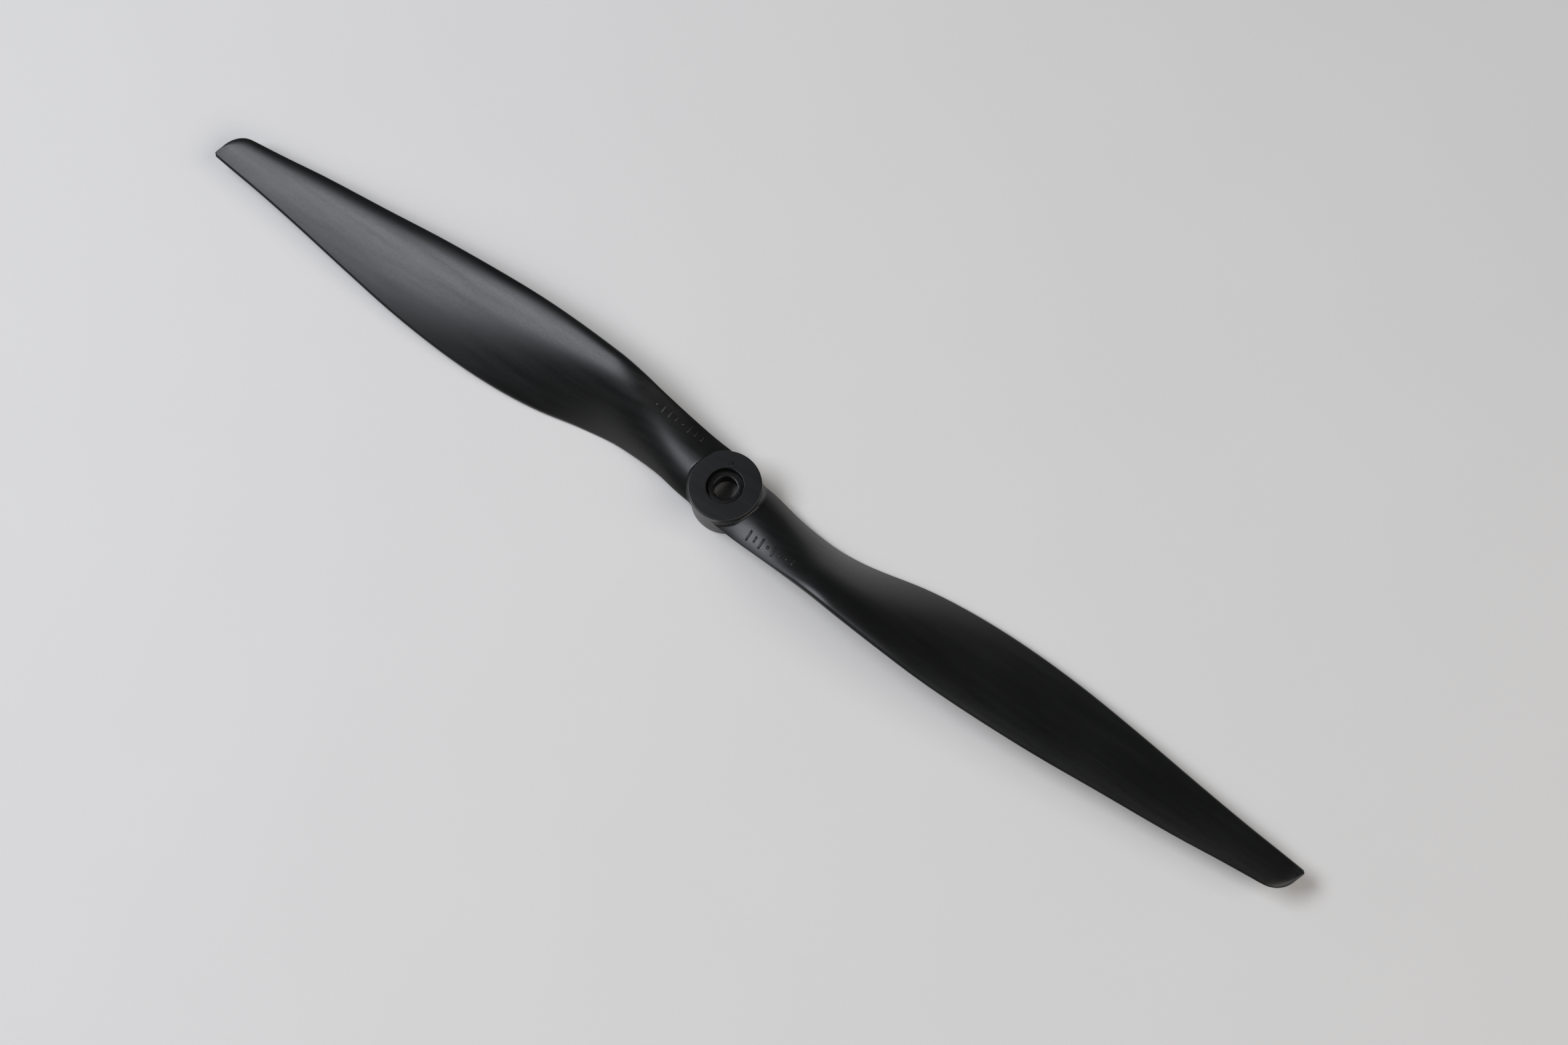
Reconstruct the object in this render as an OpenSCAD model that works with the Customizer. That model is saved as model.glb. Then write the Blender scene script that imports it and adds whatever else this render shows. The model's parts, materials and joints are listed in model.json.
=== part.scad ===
// Two-blade fixed-pitch propeller for an electric model aeroplane, in millimetres.
// The origin is the middle of the hub, on the shaft's axis. +Z points out of the front face,
// and +X runs along the first blade. Each blade leads with its -Y side when it lies along +X,
// so the propeller turns clockwise as seen from the front.

/* [Propeller] */
// Diameter of the circle that the tips sweep
diameter = 355.6; // [330:0.1:380]
// Advance in one turn, which sets the twist of the blades
pitch = 215.9; // [190:0.1:230]
// Section angle where a neck leaves the hub
root_angle = 12; // [10:1:18]
// Radius where the neck starts to turn towards the pitch angle
neck_start = 8; // [6:1:11]
// Radius where the section has reached the pitch angle
neck_end = 44; // [40:1:54]

/* [Blade sections] */
// Thickness of the trailing edge
edge_t = 0.7; // [0.5:0.1:1]
// Height of the mean line over the chord line, as a part of the chord
camber = 0.04; // [0.02:0.005:0.06]
// Width of the bevel on top of the trailing edge
edge_bevel = 0.5; // [0.3:0.1:1]
// Fullness of the neck's upper side: 0.5 is an ellipse and 1 is a parabola
neck_crown = 0.95; // [0.5:0.05:1]
// Fullness of the neck's lower side
neck_belly = 0.6; // [0.5:0.05:1]
// Radius of the leading corner of the tip
tip_round = 7; // [4:0.5:7.5]
// Rake of the tip's straight end: retreat along the blade for each millimetre across it
tip_rake = 0.3; // [0.1:0.02:0.4]
// Size of the cut corner between the tip's end and the trailing edge
tip_cut = 0.6; // [0.4:0.1:0.7]

/* [Hub] */
// Diameter of the hub
hub_d = 19.7; // [19.5:0.1:20.5]
// Thickness of the hub, front face to rear face
hub_h = 10.7; // [10.7:0.1:12]
// Diameter of the seat in the front face
seat_d = 10; // [9.5:0.1:11]
// Diameter of the recess in the rear face
recess_d = 10; // [9.5:0.1:11]
// Diameter of the hole through the web between them
web_hole_d = 6.8; // [6.7:0.1:7.2]
// Thickness of the web
web_t = 1.8; // [1.5:0.1:2.5]
// Size of the bevel on the hub's edges
hub_bevel = 0.35; // [0.2:0.05:0.5]

/* [Adapter ring] */
// Diameter of the motor shaft that the ring centres
shaft_d = 6.35; // [6:0.05:6.35]
// Height of the ring
ring_h = 2.7; // [2:0.1:3.5]
// Gap all round between the ring and its seat
ring_gap = 0.05; // [0.02:0.01:0.1]
// Size of the bevels on the ring
ring_bevel = 0.25; // [0.15:0.05:0.4]

/* [Moulded marks] */
// Height of the marks over the surface of the neck
mark_h = 0.3; // [0.15:0.05:0.4]
// Width of a bar
mark_w = 0.6; // [0.4:0.1:0.9]
// Distance from one mark to the next
mark_step = 2.1; // [1.8:0.1:2.3]
// Radius of the first mark's place on the neck
mark_start = 13; // [12.5:0.5:15]

/* [Hidden] */
$fn = 64;

tip_r = diameter / 2;
hub_r = hub_d / 2;
front_z = hub_h / 2;
seat_z = web_t / 2;
ring_r = seat_d / 2 - ring_gap;

// Each row is a place along the blade. Its values are the radius as a part of the tip's,
// how far the leading edge lies ahead of the blade's axis and the trailing edge behind it,
// the greatest thickness of the section, and the height of the middle of its chord.
STATIONS = [
    [0.00,  9.4,  8.0, 7.8, 0.1],
    [0.06, 10.2,  7.1, 7.6, 0.3],
    [0.11, 10.9,  5.5, 7.0, 1.0],
    [0.16, 11.7,  4.8, 6.5, 1.7],
    [0.20, 12.5,  4.9, 6.0, 2.5],
    [0.25, 13.5,  6.2, 5.2, 2.7],
    [0.33, 14.6,  9.1, 4.3, 2.5],
    [0.41, 15.2, 10.5, 3.6, 2.1],
    [0.50, 15.0, 10.6, 3.1, 1.9],
    [0.60, 14.2,  9.4, 2.7, 1.9],
    [0.70, 12.8,  7.2, 2.3, 2.0],
    [0.82, 11.2,  4.2, 1.9, 2.0],
    [0.90,  9.7,  2.4, 1.6, 1.9],
    [0.97,  8.6,  1.1, 1.4, 1.8],
    [1.00,  8.3,  0.5, 1.3, 1.8]
];
LEAD = 1;
TRAIL = 2;
THICKNESS = 3;
HEIGHT = 4;

// The neck is an oval up to oval_end and an airfoil beyond airfoil_start.
oval_end = 14;
airfoil_start = 50;
camber_place = 0.4;
// Greatest thickness of a narrow section over the edge's, as a part of the chord
narrow_limit = 0.45;
// Part of the edge's thickness that the bevel takes off it, and the bevel's greatest width as
// a part of the chord
bevel_drop = 0.4;
bevel_limit = 0.4;
blade_start = 2;
span_steps = 38;
round_steps = 6;
rake_steps = 3;
half_ring = 20;

function smoothstep(t) = let (s = min(1, max(0, t))) s * s * (3 - 2 * s);
function mix(a, b, t) = a + (b - a) * t;

// Slope of a column at row i, as the mean over its two neighbours
function slope(col, i) =
    let (a = STATIONS[max(0, i - 1)], b = STATIONS[min(len(STATIONS) - 1, i + 1)])
    (b[col] - a[col]) / (b[0] - a[0]);

// Smooth curve through a column of the stations, at radius r
function column(col, r, i = 0) =
    i < len(STATIONS) - 2 && r / tip_r > STATIONS[i + 1][0] ? column(col, r, i + 1)
    : let (
        a = STATIONS[i],
        b = STATIONS[i + 1],
        w = b[0] - a[0],
        t = (r / tip_r - a[0]) / w
    )
    mix(a[col], b[col], t * t * (3 - 2 * t))
    + w * (slope(col, i) * t * (1 - t) * (1 - t) - slope(col, i + 1) * t * t * (1 - t));

// The tip's corner is an arc from tip_start to rake_start, tangent to the leading edge and
// to the raked end. The raked end reaches the blade's full radius at tip_corner.
tip_corner = 0.3;
tip_lead = column(LEAD, tip_r - tip_round);
rake_angle = atan(tip_rake);
tip_start = tip_r - tip_rake * (tip_lead - tip_round - tip_corner) - tip_round / cos(rake_angle);
rake_start = tip_start + tip_round * cos(rake_angle);
function lead(r) =
    r <= tip_start ? column(LEAD, r)
    : r <= rake_start ? tip_lead - tip_round + sqrt(pow(tip_round, 2) - pow(r - tip_start, 2))
    : tip_corner + (tip_r - r) / tip_rake;
function trail(r) = column(TRAIL, r) - max(0, r - tip_r + tip_cut);

function angle(r) =
    mix(root_angle, atan(pitch / (2 * PI * r)), smoothstep((r - neck_start) / (neck_end - neck_start)));

// Half thickness at part u of the chord, as a part of the greatest thickness
function oval_half(u, side) = pow(max(0, 4 * u * (1 - u)), side > 0 ? neck_crown : neck_belly) / 2;
function airfoil_half(u) =
    5 * (0.2969 * sqrt(u) - 0.126 * u - 0.3516 * u * u + 0.2843 * pow(u, 3) - 0.1036 * pow(u, 4));
function mean_line(u) =
    u < camber_place ? (2 * camber_place * u - u * u) / pow(camber_place, 2)
    : (1 - 2 * camber_place + 2 * camber_place * u - u * u) / pow(1 - camber_place, 2);

// Point on the upper (side 1) or lower (side -1) surface at radius r and part u of the chord.
// The chord line passes through the station's height halfway between the uncut edges.
function skin_point(r, u, side) =
    let (
        ahead = lead(r),
        width = ahead + trail(r),
        a = angle(r),
        chord = width / cos(a),
        airfoil = smoothstep((r - oval_end) / (airfoil_start - oval_end)),
        thick = min(column(THICKNESS, r), narrow_limit * chord + edge_t),
        full = mix(oval_half(u, side), airfoil_half(u), airfoil) * (thick - edge_t * u) + edge_t * u / 2,
        bevel = max(0, 1 - (1 - u) * chord / min(edge_bevel, bevel_limit * chord)),
        half = side < 0 ? full : full - bevel_drop * edge_t * airfoil * bevel,
        w = airfoil * camber * chord * mean_line(u) + side * half,
        y = u * width - ahead,
        middle = (column(TRAIL, r) - column(LEAD, r)) / 2
    )
    [r, y + w * sin(a), column(HEIGHT, r) + (middle - y) * tan(a) + w * cos(a)];

function section(r) = concat(
    [for (i = [0 : half_ring]) skin_point(r, (1 + cos(180 * i / half_ring)) / 2, 1)],
    [for (i = [1 : half_ring]) skin_point(r, (1 - cos(180 * i / half_ring)) / 2, -1)]
);

// The radii of the sections: even along the blade, then closer round the tip's corner
RADII = concat(
    [for (k = [0 : span_steps - 1]) mix(blade_start, tip_start, k / span_steps)],
    [for (k = [0 : round_steps - 1]) tip_start + tip_round * sin((90 - rake_angle) * k / round_steps)],
    [for (k = [0 : rake_steps]) mix(rake_start, tip_r, k / rake_steps)]
);

module loft() {
    ring = 2 * half_ring + 1;
    last = len(RADII) - 1;
    points = [for (r = RADII) each section(r)];
    sides = [
        for (k = [0 : last - 1], i = [0 : ring - 1])
            let (
                j = (i + 1) % ring,
                a = k * ring,
                b = a + ring
            )
            each [[a + i, b + i, b + j], [a + i, b + j, a + j]]
    ];
    inner_end = [for (i = [0 : ring - 1]) i];
    outer_end = [for (i = [ring - 1 : -1 : 0]) last * ring + i];
    polyhedron(points, concat(sides, [inner_end, outer_end]));
}

// One blade along +X, cut to meet the side of the hub
module blade() {
    color("#17181a")
    difference() {
        loft();
        cylinder(h = 4 * hub_h, r = hub_r, center = true);
    }
}

module blade_1() {
    blade();
}

module blade_2() {
    rotate([0, 0, 180]) blade();
}

// Solid of revolution with a stepped hole: front seat, web, rear recess
module hub() {
    seat_r = seat_d / 2;
    web_r = web_hole_d / 2;
    recess_r = recess_d / 2;
    b = hub_bevel;
    color("#1b1c1e")
    rotate_extrude()
    polygon([
        [web_r, -seat_z],
        [recess_r, -seat_z],
        [recess_r, -front_z + b],
        [recess_r + b, -front_z],
        [hub_r - b, -front_z],
        [hub_r, -front_z + b],
        [hub_r, front_z - b],
        [hub_r - b, front_z],
        [seat_r, front_z],
        [seat_r, seat_z],
        [web_r, seat_z]
    ]);
}

// Loose ring that fills the seat and centres the shaft
module adapter_ring() {
    bore_r = shaft_d / 2;
    b = ring_bevel;
    color("#222325")
    translate([0, 0, seat_z])
    rotate_extrude()
    polygon([
        [bore_r + b, 0],
        [ring_r - b, 0],
        [ring_r, b],
        [ring_r, ring_h - b],
        [ring_r - b, ring_h],
        [bore_r + b, ring_h],
        [bore_r, ring_h - b],
        [bore_r, b]
    ]);
}

// Puts a shape on the upper surface of the neck, with its +Z along the surface's normal
module on_neck(r, u) {
    dr = 0.5;
    du = 0.02;
    along = skin_point(r + dr, u, 1) - skin_point(r - dr, u, 1);
    across = skin_point(r, u + du, 1) - skin_point(r, u - du, 1);
    normal = cross(along, across) / norm(cross(along, across));
    translate(skin_point(r, u, 1))
    rotate([asin(-normal[1]), atan2(normal[0], normal[2]), 0])
    children();
}

// A row of raised bars and dots. A length of 0 is a dot. The bars reach below the surface
// and the blade is cut away from them, so that they stand on it exactly.
module marks(lengths) {
    mark_u = 0.15;
    dot_r = 0.7 * mark_w;
    color("#1d1e20")
    difference() {
        for (i = [0 : len(lengths) - 1])
            on_neck(mark_start + mark_step * i, mark_u)
            if (lengths[i] == 0)
                cylinder(h = 2 * mark_h, r = dot_r, center = true, $fn = 24);
            else
                cube([mark_w, lengths[i], 2 * mark_h], center = true);
        loft();
    }
}

module marks_1() {
    marks([2.8, 1.6, 2.8, 0, 2.8, 1.6, 0, 1.6]);
}

module marks_2() {
    rotate([0, 0, 180]) marks([1.4, 1.4, 2.2, 0, 1.4, 2.2, 2.2, 0]);
}

hub();
blade_1();
blade_2();
marks_1();
marks_2();
adapter_ring();
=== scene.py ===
import json
import math

import bpy
import numpy as np
from mathutils import Matrix, Vector


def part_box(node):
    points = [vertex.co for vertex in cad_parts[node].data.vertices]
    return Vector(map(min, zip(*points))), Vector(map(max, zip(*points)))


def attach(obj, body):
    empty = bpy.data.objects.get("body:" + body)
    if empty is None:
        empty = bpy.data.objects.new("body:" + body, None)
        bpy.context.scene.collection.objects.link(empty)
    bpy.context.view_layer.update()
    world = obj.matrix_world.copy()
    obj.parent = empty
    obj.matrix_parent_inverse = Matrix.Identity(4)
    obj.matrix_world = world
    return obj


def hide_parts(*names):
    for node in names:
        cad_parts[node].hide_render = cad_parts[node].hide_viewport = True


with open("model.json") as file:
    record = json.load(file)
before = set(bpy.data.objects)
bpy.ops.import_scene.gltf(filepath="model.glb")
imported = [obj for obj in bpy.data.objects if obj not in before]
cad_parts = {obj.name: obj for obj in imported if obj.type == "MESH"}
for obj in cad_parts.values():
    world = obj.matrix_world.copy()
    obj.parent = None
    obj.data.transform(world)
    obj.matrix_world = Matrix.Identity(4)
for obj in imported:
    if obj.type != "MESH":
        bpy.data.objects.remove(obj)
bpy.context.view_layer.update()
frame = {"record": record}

# The looks of a two-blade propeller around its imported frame. Sizes are in millimetres until a
# mesh is made, and then in metres. The blades repeat the formulas of the CAD model, so the smooth
# skins lie where its faceted blades lie.

MM = 0.001
MOUNTS = {m["name"]: m for m in frame["record"]["mounts"]}


# ---------------------------------------------------------------------------------------------
# Sizes that come from the frame
# ---------------------------------------------------------------------------------------------

def node_box(node):
    low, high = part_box(node)
    return Vector(low) / MM, Vector(high) / MM


HUB_LOW, HUB_HIGH = node_box("hub")
RING_LOW, RING_HIGH = node_box("adapter_ring")
HUB_R = HUB_HIGH.x
FRONT_Z = HUB_HIGH.z
REAR_Z = HUB_LOW.z
TIP_R = node_box("blade_1")[1].x
RING_R = RING_HIGH.x
SHAFT_R = MOUNTS["shaft_bore"]["dims"]["r_mm"]
WEB_HOLE_R = MOUNTS["hub_bore"]["dims"]["r_mm"]
WEB_Z = MOUNTS["hub_bore"]["dims"]["length_mm"] / 2
RECESS_R = MOUNTS["rear_recess"]["dims"]["r_mm"]
RING_GAP = 0.05
SEAT_R = RING_R + RING_GAP

# ---------------------------------------------------------------------------------------------
# The blade's surface, as in the CAD model
# ---------------------------------------------------------------------------------------------

PITCH = 215.9
ROOT_ANGLE = math.radians(12)
NECK_START = 8.0
NECK_END = 44.0
EDGE_T = 0.7
CAMBER = 0.04
EDGE_BEVEL = 0.5
CROWN_POWER = 0.95
BELLY_POWER = 0.6
TIP_ROUND = 7.0
TIP_RAKE = 0.3
TIP_CUT = 0.6
TIP_CORNER = 0.3
OVAL_END = 14.0
AIRFOIL_START = 50.0
CAMBER_PLACE = 0.4
NARROW_LIMIT = 0.45
BEVEL_DROP = 0.4
BEVEL_LIMIT = 0.4
BLADE_START = 2.0

# Radius as a part of the tip's, leading edge ahead of the axis, trailing edge behind it,
# greatest thickness, and height of the middle of the chord.
STATIONS = np.array([
    [0.00,  9.4,  8.0, 7.8, 0.1],
    [0.06, 10.2,  7.1, 7.6, 0.3],
    [0.11, 10.9,  5.5, 7.0, 1.0],
    [0.16, 11.7,  4.8, 6.5, 1.7],
    [0.20, 12.5,  4.9, 6.0, 2.5],
    [0.25, 13.5,  6.2, 5.2, 2.7],
    [0.33, 14.6,  9.1, 4.3, 2.5],
    [0.41, 15.2, 10.5, 3.6, 2.1],
    [0.50, 15.0, 10.6, 3.1, 1.9],
    [0.60, 14.2,  9.4, 2.7, 1.9],
    [0.70, 12.8,  7.2, 2.3, 2.0],
    [0.82, 11.2,  4.2, 1.9, 2.0],
    [0.90,  9.7,  2.4, 1.6, 1.9],
    [0.97,  8.6,  1.1, 1.4, 1.8],
    [1.00,  8.3,  0.5, 1.3, 1.8],
])
LEAD, TRAIL, THICKNESS, HEIGHT = 1, 2, 3, 4


def smoothstep(t):
    t = np.clip(t, 0, 1)
    return t * t * (3 - 2 * t)


def mix(a, b, t):
    return a + (b - a) * t


def column(col, r):
    """Smooth curve through a column of the stations, at radius r."""
    x = STATIONS[:, 0] * TIP_R
    y = STATIONS[:, col]
    last = len(x) - 1
    above = np.minimum(np.arange(last + 1) + 1, last)
    below = np.maximum(np.arange(last + 1) - 1, 0)
    slope = (y[above] - y[below]) / (x[above] - x[below])
    i = np.clip(np.searchsorted(x, r, side="left") - 1, 0, last - 1)
    w = x[i + 1] - x[i]
    t = (r - x[i]) / w
    bend = slope[i] * t * (1 - t) ** 2 - slope[i + 1] * t * t * (1 - t)
    return mix(y[i], y[i + 1], smoothstep(t)) + w * bend


TIP_LEAD = float(column(LEAD, np.array(TIP_R - TIP_ROUND)))
RAKE_ANGLE = math.atan(TIP_RAKE)
TIP_START = (TIP_R - TIP_RAKE * (TIP_LEAD - TIP_ROUND - TIP_CORNER)
             - TIP_ROUND / math.cos(RAKE_ANGLE))
RAKE_START = TIP_START + TIP_ROUND * math.cos(RAKE_ANGLE)


def lead(r):
    arc = TIP_LEAD - TIP_ROUND + np.sqrt(np.maximum(0, TIP_ROUND ** 2 - (r - TIP_START) ** 2))
    raked = TIP_CORNER + (TIP_R - r) / TIP_RAKE
    return np.where(r <= TIP_START, column(LEAD, r), np.where(r <= RAKE_START, arc, raked))


def trail(r):
    return column(TRAIL, r) - np.maximum(0, r - TIP_R + TIP_CUT)


def angle(r):
    turned = smoothstep((r - NECK_START) / (NECK_END - NECK_START))
    return mix(ROOT_ANGLE, np.arctan(PITCH / (2 * np.pi * r)), turned)


def chord_at(r):
    return (lead(r) + trail(r)) / np.cos(angle(r))


def airfoil_part(r):
    return smoothstep((r - OVAL_END) / (AIRFOIL_START - OVAL_END))


def bevel_width(chord):
    return np.minimum(EDGE_BEVEL, BEVEL_LIMIT * chord)


def half_thickness(r, u, side):
    chord = chord_at(r)
    thick = np.minimum(column(THICKNESS, r), NARROW_LIMIT * chord + EDGE_T)
    power = np.where(side > 0, CROWN_POWER, BELLY_POWER)
    oval = 0.5 * np.maximum(0, 4 * u * (1 - u)) ** power
    airfoil = 5 * (0.2969 * np.sqrt(u) - 0.126 * u - 0.3516 * u ** 2
                   + 0.2843 * u ** 3 - 0.1036 * u ** 4)
    full = mix(oval, airfoil, airfoil_part(r)) * (thick - EDGE_T * u) + EDGE_T * u / 2
    bevel = np.maximum(0, 1 - (1 - u) * chord / bevel_width(chord))
    return np.where(side < 0, full, full - BEVEL_DROP * EDGE_T * airfoil_part(r) * bevel)


def skin_point(r, u, side):
    """Point on the upper (side 1) or lower (side -1) surface at radius r and part u of the chord."""
    ahead = lead(r)
    width = ahead + trail(r)
    a = angle(r)
    chord = width / np.cos(a)
    half = half_thickness(r, u, side)
    p = CAMBER_PLACE
    line = np.where(u < p, (2 * p * u - u * u) / p ** 2,
                    (1 - 2 * p + 2 * p * u - u * u) / (1 - p) ** 2)
    w = airfoil_part(r) * CAMBER * chord * line + side * half
    y = u * width - ahead
    middle = (column(TRAIL, r) - column(LEAD, r)) / 2
    z = column(HEIGHT, r) + (middle - y) * np.tan(a) + w * np.cos(a)
    return np.stack([r + 0 * w, y + w * np.sin(a), z], axis=-1)


# ---------------------------------------------------------------------------------------------
# Materials
# ---------------------------------------------------------------------------------------------

class Nodes:
    """A material's node tree, with short calls for the few nodes that the looks need."""

    def __init__(self, name):
        self.material = bpy.data.materials.new(name)
        self.material.use_nodes = True
        self.tree = self.material.node_tree
        self.shader = self.tree.nodes["Principled BSDF"]
        self.place = self.add("ShaderNodeTexCoord").outputs["Object"]

    def add(self, kind, **values):
        node = self.tree.nodes.new(kind)
        for key, value in values.items():
            setattr(node, key, value)
        return node

    def join(self, source, target):
        self.tree.links.new(source, target)

    def stretched(self, scale):
        node = self.add("ShaderNodeMapping")
        node.inputs["Scale"].default_value = scale
        self.join(self.place, node.inputs["Vector"])
        return node.outputs["Vector"]

    def noise(self, size, detail=3.0, place=None):
        """Noise with features of about size, in millimetres."""
        node = self.add("ShaderNodeTexNoise")
        node.inputs["Scale"].default_value = 1 / (size * MM)
        node.inputs["Detail"].default_value = detail
        self.join(place or self.place, node.inputs["Vector"])
        return node.outputs["Fac"]

    def attribute(self, name):
        return self.add("ShaderNodeAttribute", attribute_name=name).outputs["Fac"]

    def remap(self, value, source, target):
        node = self.add("ShaderNodeMapRange")
        for socket, number in zip(("From Min", "From Max", "To Min", "To Max"), (*source, *target)):
            node.inputs[socket].default_value = number
        self.join(value, node.inputs["Value"])
        return node.outputs["Result"]

    def math(self, operation, a, b):
        node = self.add("ShaderNodeMath", operation=operation)
        for socket, value in zip(node.inputs, (a, b)):
            if isinstance(value, (int, float)):
                socket.default_value = value
            else:
                self.join(value, socket)
        return node.outputs["Value"]

    def blend(self, part, first, second):
        """Mixes two colours; each is a colour tuple or a socket."""
        node = self.add("ShaderNodeMix", data_type="RGBA")
        self.join(part, node.inputs["Factor"])
        for index, value in ((6, first), (7, second)):
            if isinstance(value, tuple):
                node.inputs[index].default_value = (*value, 1)
            else:
                self.join(value, node.inputs[index])
        return node.outputs[2]

    def bump(self, height, depth, strength=1.0, normal=None):
        """Bump of the given depth, in millimetres."""
        node = self.add("ShaderNodeBump")
        node.inputs["Distance"].default_value = depth * MM
        node.inputs["Strength"].default_value = strength
        self.join(height, node.inputs["Height"])
        if normal:
            self.join(normal, node.inputs["Normal"])
        return node.outputs["Normal"]


def moulded_nylon(name, base, worn, face, rough):
    """Black glass-filled nylon: satin skin with flow streaks, fine grain and rubbed edges.
    The meshes carry two attributes: wear, 1 on rubbed edges, and flat, 1 on the hub's faces, which take
    the face colour: a darker copy of the nylon that is painted shade."""
    n = Nodes(name)
    cloudy = n.noise(14)
    streaks = n.noise(2.2, place=n.stretched((0.09, 1, 1)))
    grain = n.noise(0.22, detail=2)
    speckle = n.noise(0.6, detail=4)
    wear = n.math("MULTIPLY", n.attribute("wear"), n.remap(speckle, (0.35, 0.65), (0.2, 1)))

    tone = n.remap(n.math("ADD", cloudy, streaks), (0.7, 1.3), (0, 1))
    skin = n.blend(tone, tuple(0.75 * c for c in base), tuple(1.3 * c for c in base))
    # The hub's faces get the face colour, a darker copy of the skin that is painted shade.
    plain = n.blend(n.attribute("flat"), skin, face)
    n.join(n.blend(wear, plain, worn), n.shader.inputs["Base Color"])

    satin = n.math("ADD", n.remap(streaks, (0.3, 0.7), (rough - 0.03, rough + 0.03)),
                   n.remap(speckle, (0.3, 0.7), (-0.02, 0.02)))
    rubbed = n.math("ADD", satin, n.math("MULTIPLY", wear, 0.1))
    n.join(rubbed, n.shader.inputs["Roughness"])

    fine = n.bump(grain, 0.012, 0.5)
    n.join(n.bump(streaks, 0.02, 0.25, fine), n.shader.inputs["Normal"])
    n.shader.inputs["IOR"].default_value = 1.5
    return n.material


def cloth_floor(name, base):
    """Plain pale backing with a faint weave-sized unevenness."""
    n = Nodes(name)
    patchy = n.remap(n.noise(60), (0.3, 0.7), (0, 1))
    n.join(n.blend(patchy, tuple(0.985 * c for c in base), base), n.shader.inputs["Base Color"])
    n.join(n.bump(n.noise(0.9, detail=2), 0.15, 0.25), n.shader.inputs["Normal"])
    n.shader.inputs["Roughness"].default_value = 0.95
    n.shader.inputs["Specular IOR Level"].default_value = 0.1
    return n.material


# The third colour is painted shade for the hub's faces: the same nylon, only darker.
NYLON = moulded_nylon("moulded_nylon", (0.0055, 0.0058, 0.006), (0.02, 0.021, 0.022),
                      (0.0042, 0.0044, 0.0046), 0.36)
RING_NYLON = moulded_nylon("ring_nylon", (0.0028, 0.0028, 0.0028), (0.014, 0.014, 0.014),
                           (0.0028, 0.0028, 0.0028), 0.24)

# ---------------------------------------------------------------------------------------------
# Meshes
# ---------------------------------------------------------------------------------------------


def make_piece(name, points, faces, material, body, slot, nodes, **attributes):
    """A closed mesh from points in millimetres. Each attribute is one number per point."""
    mesh = bpy.data.meshes.new(name)
    mesh.from_pydata((np.asarray(points) * MM).tolist(), [], faces)
    for key in ("wear", "flat"):
        values = np.zeros(len(points)) + attributes.get(key, 0)
        mesh.attributes.new(key, "FLOAT", "POINT").data.foreach_set("value", values)
    mesh.materials.append(material)
    mesh.shade_smooth()
    piece = bpy.data.objects.new(name, mesh)
    bpy.context.scene.collection.objects.link(piece)
    shading = piece.modifiers.new("shading", "WEIGHTED_NORMAL")
    shading.weight = 60
    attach(piece, body)
    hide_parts(*nodes)
    return piece


def grid_faces(rings, rows, first=0):
    """Quads between rings of rows points each, where the rows close round."""
    return [
        (first + k * rows + i, first + k * rows + (i + 1) % rows,
         first + (k + 1) * rows + (i + 1) % rows, first + (k + 1) * rows + i)
        for k in range(rings - 1) for i in range(rows)
    ]


def half_turn(points):
    return points * np.array([-1, -1, 1])


# Blades: each row is a line along the blade at one place round its section. A row starts where it
# meets the side of the hub, and by JOIN_R all rows have the same radii.
JOIN_R = 24.0
ROOT_STEPS = 40
SPAN_STEP = 1.0
ROUND_STEPS = 28
RAKE_STEPS = 14
SIDE_ROWS = 56
EDGE_ROUND = 0.13
ROUND_CLEAR = 2.2
TRIAL_STEPS = 900
FILLET = 1.3
HUB_EDGE = 0.35
ROOT_DEPTH = 0.4


def edge_size(r):
    return np.minimum(EDGE_ROUND, 0.05 * chord_at(r))


def edge_face(part_down):
    """Row on the flat of the trailing edge, near its top (0) or its bottom (1)."""
    def row(r):
        top = skin_point(r, np.ones_like(r), 1)
        bottom = skin_point(r, np.ones_like(r), -1)
        depth = np.linalg.norm(top - bottom, axis=-1)
        inset = np.minimum(edge_size(r), 0.3 * depth) / depth
        return mix(top, bottom, (part_down + (1 - 2 * part_down) * inset)[:, None])
    return row


def near_edge(times, side):
    """Row at a few edge roundings from the trailing edge."""
    return lambda r: skin_point(r, 1 - times * edge_size(r) / chord_at(r), side)


def near_bevel(times):
    """Row just outside (-1) or inside (1) the line where the bevel meets the upper surface."""
    def row(r):
        chord = chord_at(r)
        return skin_point(r, 1 - (bevel_width(chord) + times * edge_size(r)) / chord, 1)
    return row


def side_row(part, side):
    """Row between the leading edge (0) and the trailing edge's own rows (1)."""
    def row(r):
        chord = chord_at(r)
        bevel = bevel_width(chord) if side > 0 else 0
        end = 1 - (bevel + ROUND_CLEAR * edge_size(r)) / chord
        return skin_point(r, end * part ** 2, side)
    return row


# From the top of the trailing edge over the leading edge to its bottom. Rows sit close by the
# edges, so that the edges read as rounded.
PARTS = np.linspace(0, 1, SIDE_ROWS + 1)
ROWS = (
    [edge_face(0), near_edge(1, 1), near_bevel(-1), near_bevel(1)]
    + [side_row(part, 1) for part in PARTS[::-1]]
    + [side_row(part, -1) for part in PARTS[1:]]
    + [near_edge(1, -1), edge_face(1)]
)
NOSE_ROW = 4 + SIDE_ROWS


def root_radii():
    """For each row, the radius where it leaves the side of the hub."""
    trial = np.linspace(BLADE_START, JOIN_R, TRIAL_STEPS)
    points = np.array([row(trial) for row in ROWS])
    outside = np.hypot(points[..., 0], points[..., 1]) > HUB_R
    last_inside = points.shape[1] - 1 - np.argmax(~outside[:, ::-1], axis=1)
    return trial[last_inside]


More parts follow.
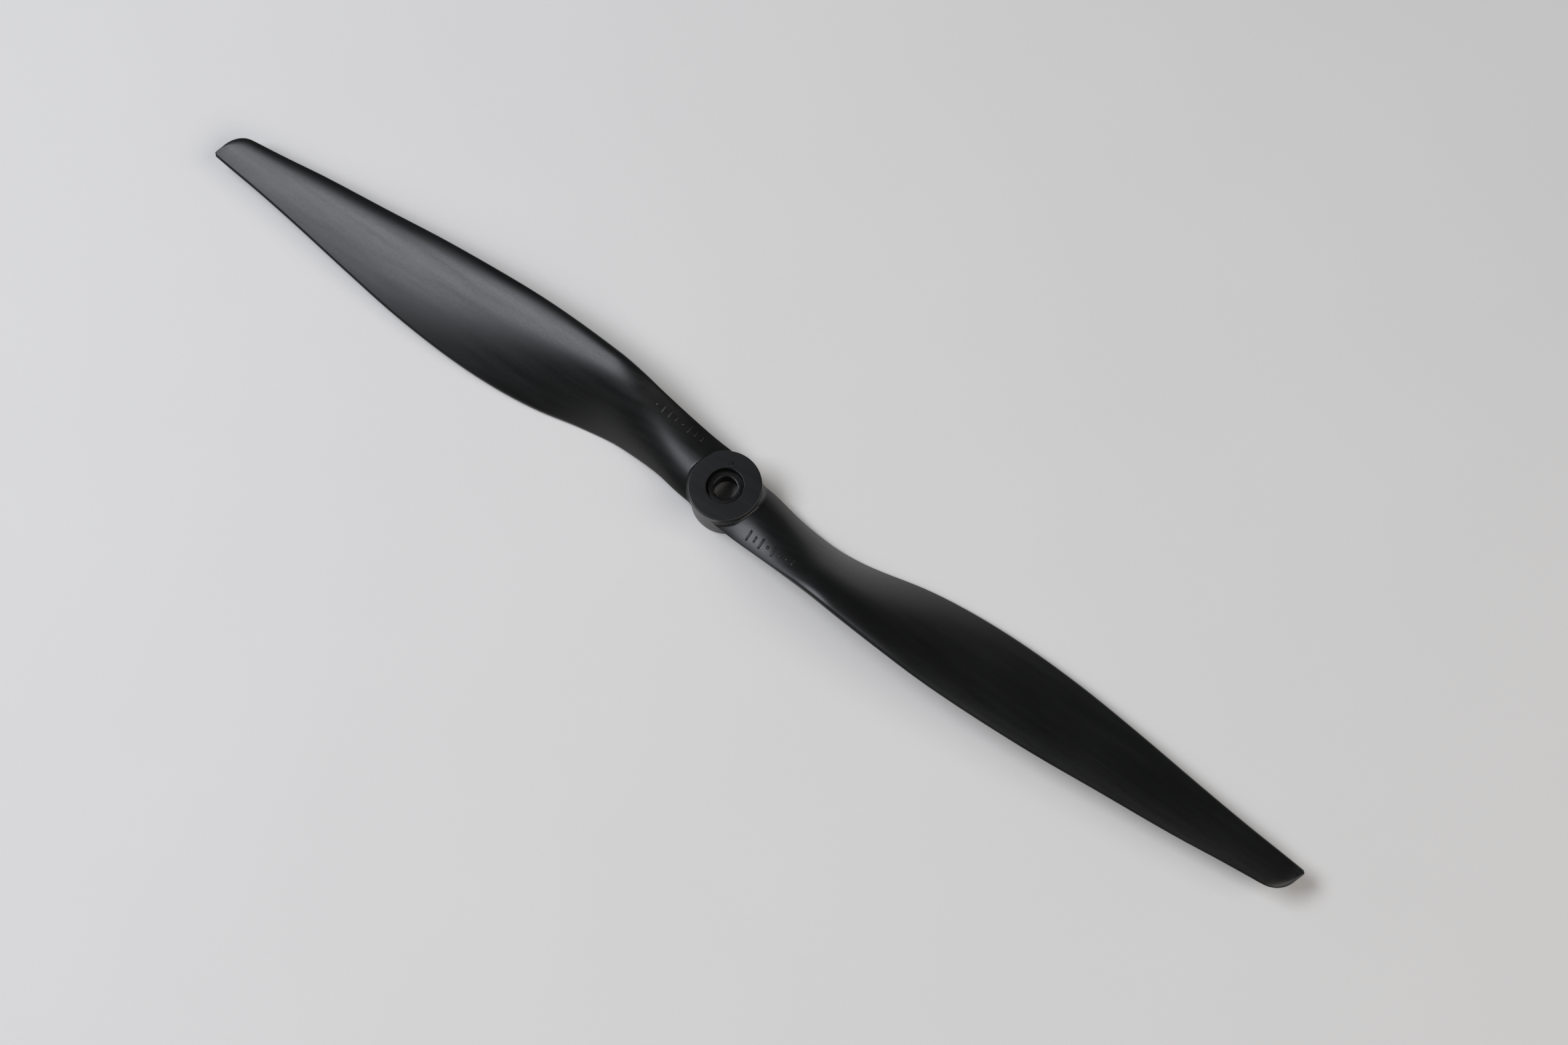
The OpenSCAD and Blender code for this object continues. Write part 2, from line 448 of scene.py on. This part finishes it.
def row_places(starts):
    """Radius of each point: rings first, then rows."""
    t = (np.arange(ROOT_STEPS) / ROOT_STEPS) ** 1.5
    root = starts[None, :] + (JOIN_R - starts[None, :]) * t[:, None]
    span = np.linspace(JOIN_R, TIP_START, int((TIP_START - JOIN_R) / SPAN_STEP), endpoint=False)
    turn = (math.pi / 2 - RAKE_ANGLE) * np.arange(ROUND_STEPS) / ROUND_STEPS
    corner = TIP_START + TIP_ROUND * np.sin(turn)
    rake = np.linspace(RAKE_START, TIP_R, RAKE_STEPS + 1)
    shared = np.concatenate([span, corner, rake])
    return np.vstack([root, np.repeat(shared[:, None], len(starts), axis=1)])


def surface_normals(points):
    along = np.gradient(points, axis=0)
    across = np.roll(points, -1, axis=1) - np.roll(points, 1, axis=1)
    normals = np.cross(across, along)
    return normals / np.maximum(np.linalg.norm(normals, axis=-1, keepdims=True), 1e-9)


def add_fillet(points):
    """Flares the root rings, so that the neck runs into the side of the hub with a soft corner."""
    normals = surface_normals(points)
    radial = points * np.array([1, 1, 0])
    radial = radial / np.linalg.norm(radial, axis=-1, keepdims=True)
    flare = normals - radial * np.sum(normals * radial, axis=-1, keepdims=True)
    up = normals[0, :, 2]
    room = np.where(up > 0, FRONT_Z - HUB_EDGE - points[0, :, 2], points[0, :, 2] - REAR_Z - HUB_EDGE)
    size = np.minimum(FILLET, 0.85 * np.maximum(room, 0.05) / np.maximum(np.abs(up), 0.1))
    distance = np.linalg.norm(points - points[0], axis=-1)
    t = np.clip(1 - distance / size, 0, 1)
    rise = size * (1 - np.sqrt(1 - t * t))
    return points + flare * rise[..., None]


def root_cap():
    """Strips from the upper rows to the lower ones, so that the end follows the hub's side."""
    last = len(ROWS) - 1
    reach = last - NOSE_ROW
    strips = [
        (NOSE_ROW - j, NOSE_ROW - j - 1, NOSE_ROW + j + 1, NOSE_ROW + j)
        for j in range(1, reach)
    ]
    nose = (NOSE_ROW, NOSE_ROW - 1, NOSE_ROW + 1)
    edge = (*range(NOSE_ROW - reach, -1, -1), last)
    return [nose, *strips, edge]


def blade_skin():
    starts = root_radii()
    radii = row_places(starts)
    rows = len(starts)
    points = np.stack([row(radii[:, i]) for i, row in enumerate(ROWS)], axis=1)
    points = add_fillet(points)
    root = points[0].copy()
    root[:, :2] *= (HUB_R - ROOT_DEPTH) / np.linalg.norm(root[:, :2], axis=1, keepdims=True)
    points = np.concatenate([root[None], points])
    rings = len(points)
    faces = grid_faces(rings, rows)
    faces += root_cap()
    faces.append(tuple(range((rings - 1) * rows, rings * rows)))
    return points, faces


# Wear: rows beside the leading edge that it covers, where along the blade it grows, as parts of
# the tip's radius, and how far from the tip it starts and fades in
WORN_ROWS = 7
WEAR_FROM = 0.35
WEAR_GROWTH = 0.5
TIP_WEAR = 4
TIP_FADE = 3


def blade_wear(points):
    """1 along the edges of the blade's outer half and round its tip, where it gets rubbed."""
    rings, rows = points.shape[:2]
    edge = np.zeros((rings, rows))
    near = np.abs(np.arange(rows) - NOSE_ROW)
    edge += np.clip(1 - near / WORN_ROWS, 0, 1)[None, :]
    edge[:, :2] = 1
    edge[:, -2:] = 1
    outer = smoothstep((points[..., 0] / TIP_R - WEAR_FROM) / WEAR_GROWTH)
    tip = smoothstep((points[..., 0] - TIP_R + TIP_WEAR) / TIP_FADE)
    return np.clip(edge * (0.06 + 0.2 * outer) + 0.9 * tip, 0, 1)


def build_blades():
    points, faces = blade_skin()
    wear = blade_wear(points).reshape(-1)
    flat = points.reshape(-1, 3)
    for number, placed in ((1, flat), (2, half_turn(flat))):
        make_piece(f"blade_{number}_skin", placed, faces, NYLON, "moulding", "moulded_nylon",
                   [f"blade_{number}"], wear=wear)


# Hub and ring: outlines in radius and height, turned round the shaft's axis
TURN_STEPS = 256
CORNER_STEPS = 5
# How near a point is to a face or a rim to be taken as on it
FACE_BAND = 0.06
RIM_BAND = 0.3


def rounded_outline(corners):
    """A closed outline through (radius, height, rounding) corners, with an arc at each."""
    outline = []
    count = len(corners)
    for i, (x, z, size) in enumerate(corners):
        here = np.array([x, z])
        before = np.array(corners[i - 1][:2]) - here
        after = np.array(corners[(i + 1) % count][:2]) - here
        before = before / np.linalg.norm(before)
        after = after / np.linalg.norm(after)
        for t in np.linspace(0, 1, CORNER_STEPS):
            swing = t * math.pi / 2
            outline.append(here + size * (before * (1 - math.sin(swing)) + after * (1 - math.cos(swing))))
    return np.array(outline)


def lathe(outline):
    turn = 2 * np.pi * np.arange(TURN_STEPS) / TURN_STEPS
    points = np.stack([np.outer(np.cos(turn), outline[:, 0]), np.outer(np.sin(turn), outline[:, 0]),
                       np.outer(np.ones_like(turn), outline[:, 1])], axis=-1)
    rows = len(outline)
    faces = [
        (k * rows + i, ((k + 1) % TURN_STEPS) * rows + i,
         ((k + 1) % TURN_STEPS) * rows + (i + 1) % rows, k * rows + (i + 1) % rows)
        for k in range(TURN_STEPS) for i in range(rows)
    ]
    return points.reshape(-1, 3), faces


# Flash that the mould left on the hub's front face: azimuth in degrees, inner and outer radius
FLASH = ((107, 5.1, 6.8), (115, 5.1, 6.2), (18, 9.1, 9.6), (3, 9.0, 9.45))
FLASH_FOOT = 0.32
FLASH_TOP = 0.12
FLASH_H = 0.12
BOX_FACES = ((3, 2, 1, 0), (4, 5, 6, 7), (0, 1, 5, 4), (1, 2, 6, 5), (2, 3, 7, 6), (3, 0, 4, 7))


def flash_line(azimuth, inner, outer):
    """Corners of a low ridge along a radius, with its foot below the face."""
    turn = math.radians(azimuth)
    along = np.array([math.cos(turn), math.sin(turn), 0])
    across = np.array([-math.sin(turn), math.cos(turn), 0])
    corners = []
    for width, z in ((FLASH_FOOT, FRONT_Z - FLASH_H), (FLASH_TOP, FRONT_Z + FLASH_H)):
        for r, side in ((inner, -1), (outer, -1), (outer, 1), (inner, 1)):
            corners.append(r * along + side * width / 2 * across + np.array([0, 0, z]))
    return np.array(corners)


def build_hub():
    outline = rounded_outline([
        (WEB_HOLE_R, -WEB_Z, 0.1),
        (RECESS_R, -WEB_Z, 0.15),
        (RECESS_R, REAR_Z, 0.3),
        (HUB_R, REAR_Z, HUB_EDGE),
        (HUB_R, FRONT_Z, HUB_EDGE),
        (SEAT_R, FRONT_Z, 0.15),
        (SEAT_R, WEB_Z, 0.1),
        (WEB_HOLE_R, WEB_Z, 0.1),
    ])
    points, faces = lathe(outline)
    for line in FLASH:
        first = len(points)
        points = np.vstack([points, flash_line(*line)])
        faces += [tuple(first + corner for corner in face) for face in BOX_FACES]
    # The hub's front and rear faces, which the material paints with its darker face colour as painted
    # shade.
    flat = (np.abs(np.abs(points[:, 2]) - FRONT_Z) < FACE_BAND).astype(float)
    rim = np.hypot(points[:, 0], points[:, 1])
    worn = ((np.abs(rim - HUB_R) < RIM_BAND) & (points[:, 2] > FRONT_Z - RIM_BAND)).astype(float)
    make_piece("hub_shell", points, faces, NYLON, "moulding", "moulded_nylon", ["hub"],
               flat=flat, wear=0.5 * worn)


def build_ring():
    low, high = RING_LOW.z, RING_HIGH.z
    outline = rounded_outline([
        (SHAFT_R, low, 0.2),
        (RING_R, low, 0.2),
        (RING_R, high, 0.25),
        (SHAFT_R, high, 0.25),
    ])
    points, faces = lathe(outline)
    rim = (points[:, 2] > high - RIM_BAND).astype(float)
    make_piece("shaft_ring", points, faces, RING_NYLON, "ring", "ring_nylon", ["adapter_ring"],
               wear=0.4 * rim)


# Raised marks on the necks: bars and dots that follow the surface. A length of 0 is a dot.
MARK_W = 0.6
MARK_STEP = 2.1
MARK_START = 13.0
MARK_U = 0.15
MARK_ROUND = 0.25
MARK_TURN = 48
DOT_PART = 0.7
# Inset and height of each ring of a mark, from its foot below the surface up to its top
MARK_PROFILE = ((0, -0.2), (0, 0.1), (0.02, 0.17), (0.06, 0.22), (0.13, 0.29))
MARK_ROWS = {
    "marks_1": (2.8, 1.6, 2.8, 0, 2.8, 1.6, 0, 1.6),
    "marks_2": (1.4, 1.4, 2.2, 0, 1.4, 2.2, 2.2, 0),
}


def on_skin(r, across, height):
    """Points over the neck's upper surface, across being measured from the marks' line."""
    u = MARK_U + across / chord_at(r)
    p = skin_point(r, u, 1)
    along = skin_point(r + 0.1, u, 1) - skin_point(r - 0.1, u, 1)
    over = skin_point(r, u + 0.01, 1) - skin_point(r, u - 0.01, 1)
    normal = np.cross(along, over)
    return p + height * normal / np.linalg.norm(normal, axis=-1, keepdims=True)


def mark_cap(r, length):
    """One mark as rings from its foot, below the surface, over its rounded edge to its top."""
    half_along = MARK_W * (DOT_PART if length == 0 else 0.5)
    half_across = max(half_along, length / 2)
    corner = half_along if length == 0 else MARK_ROUND
    turn = 2 * np.pi * np.arange(MARK_TURN) / MARK_TURN
    side = np.sign(np.cos(turn)) * (half_along - corner) + corner * np.cos(turn)
    across = np.sign(np.sin(turn)) * (half_across - corner) + corner * np.sin(turn)
    rings = []
    for inset, height in MARK_PROFILE:
        shrink_a = (half_along - inset) / half_along
        shrink_b = (half_across - inset) / half_across
        rings.append(on_skin(r + side * shrink_a, across * shrink_b, height))
    middle = on_skin(np.array([r]), np.array([0.0]), MARK_PROFILE[-1][1])
    return np.array(rings), middle[0]


def mark_mesh(lengths):
    points, faces = [], []
    for i, length in enumerate(lengths):
        rings, middle = mark_cap(MARK_START + MARK_STEP * i, length)
        count, rows = rings.shape[:2]
        first = len(points)
        points += rings.reshape(-1, 3).tolist() + [middle.tolist()]
        faces += grid_faces(count, rows, first)
        last = first + (count - 1) * rows
        faces += [(last + (k + 1) % rows, first + count * rows, last + k) for k in range(rows)]
        faces.append(tuple(reversed(range(first, first + rows))))
    return np.array(points), faces


def build_marks():
    for node, turned in (("marks_1", False), ("marks_2", True)):
        points, faces = mark_mesh(MARK_ROWS[node])
        if turned:
            points = half_turn(points)
        make_piece(f"{node}_raised", points, faces, NYLON, "moulding", "moulded_nylon", [node], wear=0.3)


# ---------------------------------------------------------------------------------------------
# Camera, floor and light
# ---------------------------------------------------------------------------------------------

CAMERA_AZIMUTH = math.radians(-45.8)
CAMERA_ELEVATION = math.radians(70.38)
CAMERA_ROLL = math.radians(-9.07)
CAMERA_TARGET = Vector((17.5, 1.8, 0.0))
CAMERA_DISTANCE = 664.2
LENS = 57.97
SENSOR = 36.0


def toward(azimuth, elevation):
    """Unit vector from the object towards a direction."""
    flat = math.cos(elevation)
    return Vector((flat * math.cos(azimuth), flat * math.sin(azimuth), math.sin(elevation)))


def add_camera():
    data = bpy.data.cameras.new("camera")
    data.lens = LENS
    data.sensor_width = SENSOR
    data.clip_start = 0.01
    camera = bpy.data.objects.new("camera", data)
    back = toward(CAMERA_AZIMUTH, CAMERA_ELEVATION)
    level = back.cross(Vector((0, 0, 1))) * -1
    level.normalize()
    rise = back.cross(level)
    right = level * math.cos(CAMERA_ROLL) + rise * math.sin(CAMERA_ROLL)
    up = rise * math.cos(CAMERA_ROLL) - level * math.sin(CAMERA_ROLL)
    turned = Matrix((right, up, back)).transposed().to_4x4()
    camera.matrix_world = Matrix.Translation((CAMERA_TARGET + back * CAMERA_DISTANCE) * MM) @ turned
    bpy.context.scene.collection.objects.link(camera)
    bpy.context.scene.camera = camera


FLOOR_SIZE = 4.0


def add_floor():
    half = FLOOR_SIZE / 2
    z = REAR_Z * MM
    mesh = bpy.data.meshes.new("floor")
    corners = [(-half, -half, z), (half, -half, z), (half, half, z), (-half, half, z)]
    mesh.from_pydata(corners, [], [(0, 1, 2, 3)])
    mesh.materials.append(cloth_floor("pale_cloth", (0.82, 0.812, 0.805)))
    floor = bpy.data.objects.new("floor", mesh)
    bpy.context.scene.collection.objects.link(floor)


def add_soft_light(name, azimuth, elevation, distance, width, height, radiance, colour=(1, 1, 1)):
    """A rectangular light that faces the object. Its radiance is what a mirror would show."""
    data = bpy.data.lights.new(name, "AREA")
    data.shape = "RECTANGLE"
    data.size = width
    data.size_y = height
    data.energy = radiance * math.pi * width * height
    data.color = colour
    light = bpy.data.objects.new(name, data)
    direction = toward(math.radians(azimuth), math.radians(elevation))
    facing = direction.to_track_quat("Z", "Y").to_matrix().to_4x4()
    light.matrix_world = Matrix.Translation(direction * distance) @ facing
    bpy.context.scene.collection.objects.link(light)


def add_lights():
    add_soft_light("key", -155, 55, 1.1, 0.75, 0.5, 6.5, (0.94, 0.97, 1.04))
    add_soft_light("fill", -3, 42, 1.6, 2.2, 1.0, 2.15, (1.0, 0.965, 0.91))
    world = bpy.data.worlds.new("room")
    bpy.context.scene.world = world
    world.use_nodes = True
    world.node_tree.nodes["Background"].inputs["Color"].default_value = (0.05, 0.05, 0.05, 1)


add_camera()
add_floor()
add_lights()
build_blades()
build_hub()
build_ring()
build_marks()

bpy.context.scene.view_settings.view_transform = "Standard"
